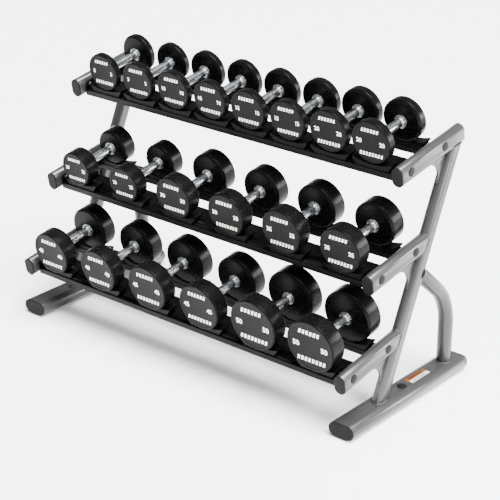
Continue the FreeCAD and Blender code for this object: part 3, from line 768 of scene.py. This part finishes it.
for weights in ROWS.values():
    for weight in weights:
        heads, handle, marks = dumbbell_meshes(weight, DUMBBELLS[weight, "a"])
        for twin in "ab":
            spot = DUMBBELLS[weight, twin]
            body = "dumbbell_%s_%s" % (weight, twin)
            parts = (("heads", heads, URETHANE), ("handle", handle, CHROME), ("marks", marks, INK))
            for stem, mesh, finish in parts:
                piece = place_copy(mesh, spot, "%s_%s_%s" % (stem, weight, twin))
                settle(piece, body, [body] if stem == "heads" else [], finish)
print("dumbbells placed:", len(DUMBBELLS))

# %% [markdown]
# ## Saddles
#
# Every dumbbell lies in two moulded saddles: blocks with a shallow trough on top, a flat foot on
# the rail and ends that lean out to thin tips.  One tree bends a plain block into that shape
# and repeats it along the rail.  The trough is part of a circle through both tips.

# %% The saddle tree


def saddle_tree():
    tree, given = new_tree("saddle_row", {
        "Count": "Int", "Pitch": "Float", "Width": "Float", "Depth": "Float",
        "Rise": "Float", "Thickness": "Float", "Foot": "Float", "Tip": "Float",
    })
    block = node(tree, "GeometryNodeMeshCube", {
        "Size": (1.0, 1.0, 1.0), "Vertices X": 39, "Vertices Y": 2, "Vertices Z": 2,
    })
    position = node(tree, "GeometryNodeInputPosition")
    spot = node(tree, "ShaderNodeSeparateXYZ", {"Vector": position}).outputs
    across = node(tree, MATH, {0: spot["X"], 1: given["Width"]}, operation="MULTIPLY")
    half = node(tree, MATH, {0: given["Width"], 1: 0.5}, operation="MULTIPLY")

    # the trough: a circle through both tips and the lowest point
    half_squared = node(tree, MATH, {0: half, 1: half}, operation="MULTIPLY")
    squares = node(tree, MATH, {
        0: given["Rise"], 1: given["Rise"], 2: half_squared,
    }, operation="MULTIPLY_ADD")
    twice_rise = node(tree, MATH, {0: given["Rise"], 1: 2.0}, operation="MULTIPLY")
    radius = node(tree, MATH, {0: squares, 1: twice_rise}, operation="DIVIDE")
    radius_squared = node(tree, MATH, {0: radius, 1: radius}, operation="MULTIPLY")
    across_squared = node(tree, MATH, {0: across, 1: across}, operation="MULTIPLY")
    inside = node(tree, MATH, {0: radius_squared, 1: across_squared}, operation="SUBTRACT")
    reach = node(tree, MATH, {0: inside}, operation="SQRT")
    trough = node(tree, MATH, {0: radius, 1: reach}, operation="SUBTRACT")

    # the underside: flat over the foot, then a straight lean up to the tip
    out = node(tree, MATH, {0: across}, operation="ABSOLUTE")
    half_foot = node(tree, MATH, {0: given["Foot"], 1: 0.5}, operation="MULTIPLY")
    past_foot = node(tree, MATH, {0: out, 1: half_foot}, operation="SUBTRACT")
    beyond = node(tree, MATH, {0: past_foot, 1: 0.0}, operation="MAXIMUM")
    height = node(tree, MATH, {0: given["Rise"], 1: given["Thickness"]}, operation="ADD")
    lean_height = node(tree, MATH, {0: height, 1: given["Tip"]}, operation="SUBTRACT")
    lean_width = node(tree, MATH, {0: half, 1: half_foot}, operation="SUBTRACT")
    slope = node(tree, MATH, {0: lean_height, 1: lean_width}, operation="DIVIDE")
    lifted = node(tree, MATH, {0: beyond, 1: slope}, operation="MULTIPLY")
    under = node(tree, MATH, {0: lifted, 1: given["Thickness"]}, operation="SUBTRACT")

    upper = node(tree, "FunctionNodeCompare", {"A": spot["Z"], "B": 0.0}, operation="GREATER_THAN")
    level = node(tree, "GeometryNodeSwitch", {
        "Switch": upper, "False": under, "True": trough,
    }, input_type="FLOAT")
    deep = node(tree, MATH, {0: spot["Y"], 1: given["Depth"]}, operation="MULTIPLY")
    place = node(tree, "ShaderNodeCombineXYZ", {"X": across, "Y": deep, "Z": level})
    saddle = node(tree, "GeometryNodeSetPosition", {"Geometry": block, "Position": place})
    gap = node(tree, "ShaderNodeCombineXYZ", {"X": given["Pitch"]})
    line = node(tree, "GeometryNodeMeshLine", {"Count": given["Count"], "Offset": gap})
    row = node(tree, "GeometryNodeInstanceOnPoints", {"Points": line, "Instance": saddle})
    end_tree(tree, given, row)
    return tree


SADDLE = saddle_tree()
print("saddle tree nodes:", len(SADDLE.nodes))

# %% Grow the six rows of saddles
HEAD_CLEARANCE = 0.3 * MM
SADDLE_FOOT = 120 * MM
SADDLE_TIP = 6 * MM
for tier, weights in ROWS.items():
    seats = [DUMBBELLS[weight, twin] for weight in weights for twin in "ab"]
    pitch = seats[1]["x"] - seats[0]["x"]
    floor = seats[0]["z"] - seats[0]["radius"] - HEAD_CLEARANCE
    for end in ("front", "rear"):
        cad_node = "%s_%s_saddles" % (tier, end)
        spots = sloped(points_of(cad_node))
        low, high = spots.min(0), spots.max(0)
        width = high[0] - low[0] - pitch * (len(seats) - 1)
        mesh = grow(SADDLE, cad_node + "_row", {
            "Count": len(seats), "Pitch": pitch, "Width": width,
            "Depth": high[1] - low[1], "Rise": high[2] - floor, "Thickness": floor - low[2],
            "Foot": SADDLE_FOOT, "Tip": SADDLE_TIP,
        }, SADDLE_PLASTIC)
        mesh.transform(SLOPE @ Matrix.Translation((seats[0]["x"], (low[1] + high[1]) / 2, floor)))
        turn_outward(mesh)
        row = new_piece(cad_node + "_row", mesh)
        soften(row, 1.2, 30.0)
        settle(row, "rack", [cad_node], SADDLE_PLASTIC)
    print("saddles under the", tier, "row:", 2 * len(seats))

# %% [markdown]
# ## Small repeated parts
#
# Bolt covers and screw heads are the same small part many times over.  A tree copies one part
# onto every vertex of a starting mesh that only holds their places.

# %% A tree that copies a part onto points


def scatter_tree():
    tree, given = new_tree("part_on_points", {"Part": "Object"})
    part = node(tree, "GeometryNodeObjectInfo", {"Object": given["Part"]})
    copies = node(tree, "GeometryNodeInstanceOnPoints", {
        "Points": given["Geometry"], "Instance": part.outputs["Geometry"],
    })
    end_tree(tree, given, copies)
    return tree


SCATTER = scatter_tree()


def islands(cad_node):
    """The box of each separate solid of a node, in the rack's frame."""
    work = bmesh.new()
    work.from_mesh(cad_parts[cad_node].data)
    bmesh.ops.remove_doubles(work, verts=work.verts, dist=0.00002)
    left = set(work.verts)
    boxes = []
    while left:
        stack = [left.pop()]
        group = list(stack)
        while stack:
            for edge in stack.pop().link_edges:
                for vertex in edge.verts:
                    if vertex in left:
                        left.discard(vertex)
                        stack.append(vertex)
                        group.append(vertex)
        spots = np.array([v.co for v in group])
        boxes.append((spots.min(0), spots.max(0)))
    work.free()
    return sorted(boxes, key=lambda box: tuple(box[0]))  # a set has no order of its own


def copies_on(name, part_mesh, places, finish):
    """The part grown onto every place."""
    part = new_piece(name + "_part", part_mesh)
    holder = bpy.data.meshes.new(name + "_places")
    holder.from_pydata([tuple(place) for place in places], [], [])
    mesh = grow(SCATTER, name, {"Part": part}, finish, holder)
    bpy.data.objects.remove(part)
    return mesh


# %% [markdown]
# A bolt cover is a low dome with a fine step round its edge, pressed into the arm's outer wall.
# A screw head is a small pan head with a hex socket, under the rail.

# %% Bolt covers


def cover_mesh(radius, thickness, sign):
    """A domed disc whose axis is X, its back on the arm's outer face."""
    line = rounded([
        (0, -2.8 * MM, 0),
        (radius - 3 * MM, -2.8 * MM, 0),
        (radius - 3 * MM, 0, 0),
        (radius, 0, 0.2 * MM),
        (radius, thickness * 0.55, 0.6 * MM),
        (radius - 2.2 * MM, thickness * 0.75, 0.5 * MM),
        (radius * 0.5, thickness * 1.15, 6 * MM),
        (0, thickness * 1.2, 0),
    ])
    mesh = closed_mesh("cover", [lathe(line, 48)])
    mesh.transform(Matrix.Rotation(math.radians(-90 * sign), 4, "Z"))
    return mesh


cover_boxes = islands("bolt_covers")
COVER_RADIUS = np.ptp([cover_boxes[0][0][1], cover_boxes[0][1][1]]) / 2
COVER_THICKNESS = 1.6 * MM
cover_rows = []
for sign in (-1, 1):
    places = []
    for low, high in cover_boxes:
        if (low[0] > 0) == (sign > 0):
            outer = high[0] if sign > 0 else low[0]
            middle = (low + high) / 2
            places.append((outer - sign * COVER_THICKNESS, middle[1], middle[2]))
    side_name = "right" if sign > 0 else "left"
    part = cover_mesh(COVER_RADIUS, COVER_THICKNESS, sign)
    cover_rows.append(copies_on("covers_" + side_name, part, places, CAP_PLASTIC))
covers = new_piece("bolt_covers_domed", join_meshes("bolt_covers_domed", cover_rows, CAP_PLASTIC))
covers.data.shade_smooth()
covers.data.set_sharp_from_angle(angle=math.radians(35))
settle(covers, "rack", ["bolt_covers"], CAP_PLASTIC)
print("bolt covers:", len(cover_boxes))

# %% Screws under the rails


def screw_mesh():
    """A pan head with a socket, under the rail, and the shank above it."""
    line = rounded([
        (0, 0.9 * MM, 0),
        (2.4 * MM, 0.9 * MM, 0),
        (2.6 * MM, -0.8 * MM, 0.2 * MM),
        (4.6 * MM, -0.9 * MM, 1.0 * MM),
        (6.0 * MM, 1.4 * MM, 0.8 * MM),
        (6.0 * MM, 2.6 * MM, 0),
        (3.0 * MM, 2.6 * MM, 0),
        (3.0 * MM, 9.4 * MM, 0.4 * MM),
        (0, 9.4 * MM, 0),
    ], 2)
    mesh = closed_mesh("screw", [lathe(line, 24)])
    mesh.transform(SLOPE @ Matrix.Rotation(math.radians(90), 4, "X"))
    return mesh


UP_SLOPE = np.array(SLOPE.to_3x3())[:, 2]
SCREW_DROP = 4.3 * MM  # from the middle of the screw down to the start of its outline
screw_boxes = islands("saddle_screws")
screw_places = [(low + high) / 2 - UP_SLOPE * SCREW_DROP for low, high in screw_boxes]
screws = new_piece("saddle_screws_turned", copies_on("screws", screw_mesh(), screw_places, ZINC))
screws.data.set_sharp_from_angle(angle=math.radians(35))
settle(screws, "rack", ["saddle_screws"], ZINC)
print("screws:", len(screw_places))

# %% [markdown]
# ## Weld beads
#
# The tubes of each side frame are welded, and under the paint a bead runs round every joint.
# A bead is a small tube that follows the joint's line, with a ripple for each drop of metal.
# The line is worked out from where the two tubes' surfaces meet.

# %% The weld bead tree


def bead_tree():
    tree, given = new_tree("weld_bead", {
        "Bead radius": "Float", "Ripple": "Float", "Spacing": "Float",
    })
    path = node(tree, "GeometryNodeMeshToCurve", {"Mesh": given["Geometry"]})
    step = node(tree, MATH, {0: given["Spacing"], 1: 0.25}, operation="MULTIPLY")
    even = node(tree, "GeometryNodeResampleCurve", {"Curve": path, "Length": step}, mode="LENGTH")
    along = node(tree, "GeometryNodeSplineParameter").outputs["Length"]
    drops = node(tree, MATH, {0: along, 1: given["Spacing"]}, operation="DIVIDE")
    turns = node(tree, MATH, {0: drops, 1: 2 * math.pi}, operation="MULTIPLY")
    wave = node(tree, MATH, {0: turns}, operation="SINE")
    swell = node(tree, MATH, {0: wave, 1: given["Ripple"], 2: 1.0}, operation="MULTIPLY_ADD")
    section = node(tree, "GeometryNodeCurvePrimitiveCircle", {"Resolution": 8, "Radius": 1.0})
    bead = node(tree, "GeometryNodeCurveToMesh", {
        "Curve": even,
        "Profile Curve": section,
        "Scale": node(tree, MATH, {0: swell, 1: given["Bead radius"]}, operation="MULTIPLY"),
        "Fill Caps": True,
    })
    end_tree(tree, given, node(tree, "GeometryNodeSetShadeSmooth", {"Geometry": bead}))
    return tree


BEAD = bead_tree()
print("bead tree nodes:", len(BEAD.nodes))

# %% [markdown]
# Three directions describe a side frame seen from the side: along an arm, along the upright,
# and along the sloping run of the brace.  A joint's line is found point by point: walk round
# one tube's section, then slide along that tube until the other tube's surface is met.

# %% Where the tubes meet


def side_vector(y, z):
    return np.array([0.0, y, z])


ALONG_ARM = side_vector(math.cos(TILT), math.sin(TILT))
ABOVE_ARM = side_vector(-math.sin(TILT), math.cos(TILT))
ALONG_UPRIGHT = side_vector(math.sin(LEAN), math.cos(LEAN))
BEHIND_UPRIGHT = side_vector(math.cos(LEAN), -math.sin(LEAN))
UP_BRACE = side_vector(-math.sin(BRACE_BEND), math.cos(BRACE_BEND))
OVER_BRACE = side_vector(math.cos(BRACE_BEND), math.sin(BRACE_BEND))
ACROSS = np.array([1.0, 0.0, 0.0])

upright = points_of("right_upright_tube")
foot_level = upright[:, 2].min()
base = upright[upright[:, 2] < foot_level + 0.5 * MM]
SIDE = (upright[:, 0].min() + upright[:, 0].max()) / 2
FOOT_OF_UPRIGHT = np.array([0.0, (base[:, 1].min() + base[:, 1].max()) / 2, foot_level])
UPRIGHT_WIDTH = np.ptp(upright[:, 0])
UPRIGHT_DEPTH = np.ptp(upright @ BEHIND_UPRIGHT)
brace = points_of("right_rear_brace")
BRACE_RADIUS = np.ptp(brace[:, 0]) / 2
BRACE_Y = brace[brace[:, 2] < foot_level + 0.5 * MM][:, 1].mean()
BRACE_LINE = (brace @ OVER_BRACE).max() - BRACE_RADIUS
print("upright section mm:", round(UPRIGHT_WIDTH / MM, 1), round(UPRIGHT_DEPTH / MM, 1))


def oval_ring(long_side, short_side, steps=64):
    """Points round a flat oval: (across, along), the long side along."""
    radius = short_side / 2
    straight = (long_side - short_side) / 2
    ring = []
    for k in range(steps):
        angle = 2 * math.pi * (k + 0.5) / steps
        shift = straight if math.sin(angle) > 0 else -straight
        ring.append((radius * math.cos(angle), shift + radius * math.sin(angle)))
    return ring


def round_edge(x, long_side, short_side):
    """How far a flat oval's round edge stands from its middle, at a place across it."""
    inside = max((short_side / 2) ** 2 - min(abs(x), short_side / 2) ** 2, 0.0)
    return (long_side - short_side) / 2 + math.sqrt(inside)


def slide_to(start, direction, measure, level):
    """Slide a point along a direction until its measure reaches a level."""
    return start + direction * (level - start @ measure) / (direction @ measure)


# %% Lines of all the welds


def weld_paths():
    """Closed lines, each a list of points of the right side frame."""
    paths = []
    upright_ring = oval_ring(UPRIGHT_DEPTH, UPRIGHT_WIDTH)
    up = np.array([0.0, 0.0, 1.0])
    paths.append([
        slide_to(FOOT_OF_UPRIGHT + ACROSS * x + BEHIND_UPRIGHT * n, ALONG_UPRIGHT, up, foot_level)
        for x, n in upright_ring
    ])
    paths.append([
        np.array([BRACE_RADIUS * math.cos(t), BRACE_Y + BRACE_RADIUS * math.sin(t), foot_level])
        for t in np.linspace(0, 2 * math.pi, 48, endpoint=False)
    ])
    level = FOOT_OF_UPRIGHT @ BEHIND_UPRIGHT
    for tier in ("middle", "bottom"):
        arm = sloped(points_of("right_%s_arm" % tier))
        middle = (arm[:, 2].min() + arm[:, 2].max()) / 2
        path = []
        for x, w in oval_ring(ARM_HEIGHT, ARM_WIDTH):
            x *= 0.98  # just inside the arm's sides
            edge = level - round_edge(x, UPRIGHT_DEPTH, UPRIGHT_WIDTH)
            start = ACROSS * x + ABOVE_ARM * (middle + w)
            path.append(slide_to(start, ALONG_ARM, BEHIND_UPRIGHT, edge))
        paths.append(path)
    top_arm = sloped(points_of("right_top_arm"))
    top_middle = (top_arm[:, 2].min() + top_arm[:, 2].max()) / 2
    path = []
    least = ARM_HEIGHT / 2 - 9 * MM  # the bead climbs 9 mm at most round the arm's underside
    for x, n in upright_ring:
        under = top_middle - max(round_edge(x, ARM_HEIGHT, ARM_WIDTH), least)
        start = FOOT_OF_UPRIGHT + ACROSS * x + BEHIND_UPRIGHT * n
        path.append(slide_to(start, ALONG_UPRIGHT, ABOVE_ARM, under))
    paths.append(path)
    path = []
    least = (UPRIGHT_DEPTH - UPRIGHT_WIDTH) / 2 + 3.5 * MM  # where the round edge turns away
    for t in np.linspace(0, 2 * math.pi, 48, endpoint=False):
        x = BRACE_RADIUS * math.cos(t)
        edge = level + max(round_edge(x, UPRIGHT_DEPTH, UPRIGHT_WIDTH), least)
        start = ACROSS * x + OVER_BRACE * (BRACE_LINE + BRACE_RADIUS * math.sin(t))
        path.append(slide_to(start, UP_BRACE, BEHIND_UPRIGHT, edge))
    paths.append(path)
    return paths


def path_mesh(paths, sign):
    """The closed lines as edges of one mesh, on the left or right side frame."""
    spots = []
    edges = []
    for path in paths:
        base = len(spots)
        spots.extend((sign * SIDE + p[0], p[1], p[2]) for p in path)
        edges.extend((base + k, base + (k + 1) % len(path)) for k in range(len(path)))
    mesh = bpy.data.meshes.new("weld_lines")
    mesh.from_pydata(spots, edges, [])
    return mesh


PATHS = weld_paths()
for name, sign in (("left", -1), ("right", 1)):
    mesh = grow(BEAD, name + "_weld_beads", {
        "Bead radius": 2.0 * MM, "Ripple": 0.12, "Spacing": 4.5 * MM,
    }, SILVER, path_mesh(PATHS, sign))
    beads = new_piece(name + "_weld_beads", mesh)
    settle(beads, "rack", [], SILVER)
print("weld beads on each side:", len(PATHS))

# %% [markdown]
# ## The sticker on the right foot
#
# A vinyl sticker lies on the foot between the plug and the brace: one half orange, one half
# a white panel with a few grey lines.  It is only a pattern, so the material draws it from the
# object's own coordinates, and it carries no words.

# %% Vinyl sticker
MIX_A, MIX_B, MIX_OUT = 6, 7, 2  # the numbers of a Mix node's colour sockets


def rectangle(tree, spot, left, right, bottom, top):
    """1 inside a rectangle, else 0; its edges are shares of the sticker's sides."""
    inside = 1.0
    for axis, operation, edge in (
            ("X", "GREATER_THAN", left), ("X", "LESS_THAN", right),
            ("Y", "GREATER_THAN", bottom), ("Y", "LESS_THAN", top)):
        test = node(tree, MATH, {0: spot[axis], 1: edge}, operation=operation)
        inside = node(tree, MATH, {0: inside, 1: test}, operation="MULTIPLY")
    return inside


def printed_vinyl(low, high):
    """Orange with a dark strip on the left, white with grey lines on the right."""
    material, tree, shader = new_finish("printed_vinyl")
    size = high - low
    local = node(tree, "ShaderNodeMapping", {
        "Vector": node(tree, "ShaderNodeTexCoord").outputs["Object"],
        "Location": (-low.x / size.x, -low.y / size.y, 0),
        "Scale": (1 / size.x, 1 / size.y, 1),
    })
    spot = node(tree, "ShaderNodeSeparateXYZ", {"Vector": local}).outputs
    columns = node(tree, MATH, {0: spot["X"], 1: 9.0}, operation="MULTIPLY")
    comb = node(tree, MATH, {0: columns, 1: 0.5}, operation="PINGPONG")
    stripe = node(tree, MATH, {0: comb, 1: 0.25}, operation="LESS_THAN")
    field = rectangle(tree, spot, 0.56, 0.9, 0.08, 0.8)
    lines = node(tree, MATH, {0: field, 1: stripe}, operation="MULTIPLY")
    panel = rectangle(tree, spot, 0.5, 0.95, 0.04, 0.97)
    bare = node(tree, MATH, {0: panel, 1: lines}, operation="SUBTRACT")
    strip = rectangle(tree, spot, 0.12, 0.3, 0.12, 0.88)
    white = node(tree, "ShaderNodeMix", {
        "Factor": bare, MIX_A: linear("#2c2c2c"), MIX_B: linear("#b4b3af"),
    }, data_type="RGBA")
    orange = node(tree, "ShaderNodeMix", {
        "Factor": strip, MIX_A: linear("#6e3a00"), MIX_B: linear("#140c04"),
    }, data_type="RGBA")
    left_half = node(tree, MATH, {0: spot["X"], 1: 0.46}, operation="LESS_THAN")
    both = node(tree, "ShaderNodeMix", {
        "Factor": left_half, MIX_A: white.outputs[MIX_OUT], MIX_B: orange.outputs[MIX_OUT],
    }, data_type="RGBA")
    tree.links.new(both.outputs[MIX_OUT], shader.inputs["Base Color"])
    shader.inputs["Roughness"].default_value = 0.3
    return material


VINYL = printed_vinyl(*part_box("foot_label"))
finish_cad("foot_label", VINYL, 0.2)
print("finish:", VINYL.name)

# %% [markdown]
# ## The studio
#
# A pale floor runs out of sight in every direction.  An even light from almost straight above
# keeps it white, and a dim white sky fills in.  A soft box on the right lights the side frame,
# one behind on the right draws the streaks on the heads, and a weak one in front on the left
# lifts their faces.

# %% Floor


def make_floor(reach):
    corners = [(-reach, -reach, 0), (reach, -reach, 0), (reach, reach, 0), (-reach, reach, 0)]
    mesh = bpy.data.meshes.new("floor")
    mesh.from_pydata(corners, [], [(0, 1, 2, 3)])
    material, _, shader = new_finish("studio_floor")
    shader.inputs["Base Color"].default_value = linear("#fbfbfb")
    shader.inputs["Roughness"].default_value = 0.9
    shader.inputs["Specular IOR Level"].default_value = 0.1
    mesh.materials.append(material)
    new_piece("floor", mesh)


make_floor(200.0)

# %% Lights


def place_light(lamp, place, target):
    """Put a light somewhere and turn it to face a target."""
    holder = new_piece(lamp.name, lamp)
    holder.location = place
    holder.rotation_euler = (Vector(target) - Vector(place)).to_track_quat("-Z", "Y").to_euler()


RACK_MIDDLE = (0.0, 0.0, 0.5)
for name, place, width, power in (
        ("key_box", (4.2, -0.6, 2.2), 2.0, 260),
        ("fill_box", (-3.2, -3.4, 2.2), 2.5, 15),
        ("rim_box", (3.9, 3.0, 1.5), 1.6, 260)):
    lamp = bpy.data.lights.new(name, "AREA")
    lamp.shape = "DISK"
    lamp.size = width
    lamp.energy = power
    place_light(lamp, place, RACK_MIDDLE)

lamp = bpy.data.lights.new("overhead", "SUN")
lamp.energy = 18.0
lamp.angle = math.radians(40.0)
place_light(lamp, (1.4, -0.4, 4.0), (0.0, 0.0, 0.0))

world = bpy.data.worlds.new("white_sky")
bpy.context.scene.world = world
world.use_nodes = True
sky = world.node_tree.nodes["Background"]
sky.inputs["Color"].default_value = linear("#ffffff")
sky.inputs["Strength"].default_value = 0.6
print("lights: three soft boxes, an overhead light and a white sky")

# %% [markdown]
# ## The camera
#
# The camera stands well back, in front, to the right and above, and looks through a long lens,
# so that the far end of the rack is only a little smaller than the near one.

# %% Camera
CAMERA_PLACE = Vector((3.28231, -3.83173, 2.53986))
YAW = math.radians(40.04)
PITCH = math.radians(23.47)
LENS = 114.68
lens = bpy.data.cameras.new("camera")
lens.lens = LENS
lens.sensor_width = 36.0
lens.clip_end = 100.0
camera = new_piece("camera", lens)
camera.location = CAMERA_PLACE
level_look = math.cos(PITCH)
look = Vector((-math.sin(YAW) * level_look, math.cos(YAW) * level_look, -math.sin(PITCH)))
camera.rotation_euler = look.to_track_quat("-Z", "Y").to_euler()
bpy.context.scene.camera = camera
print("camera", round(CAMERA_PLACE.length, 2), "m from the origin, lens", LENS, "mm")
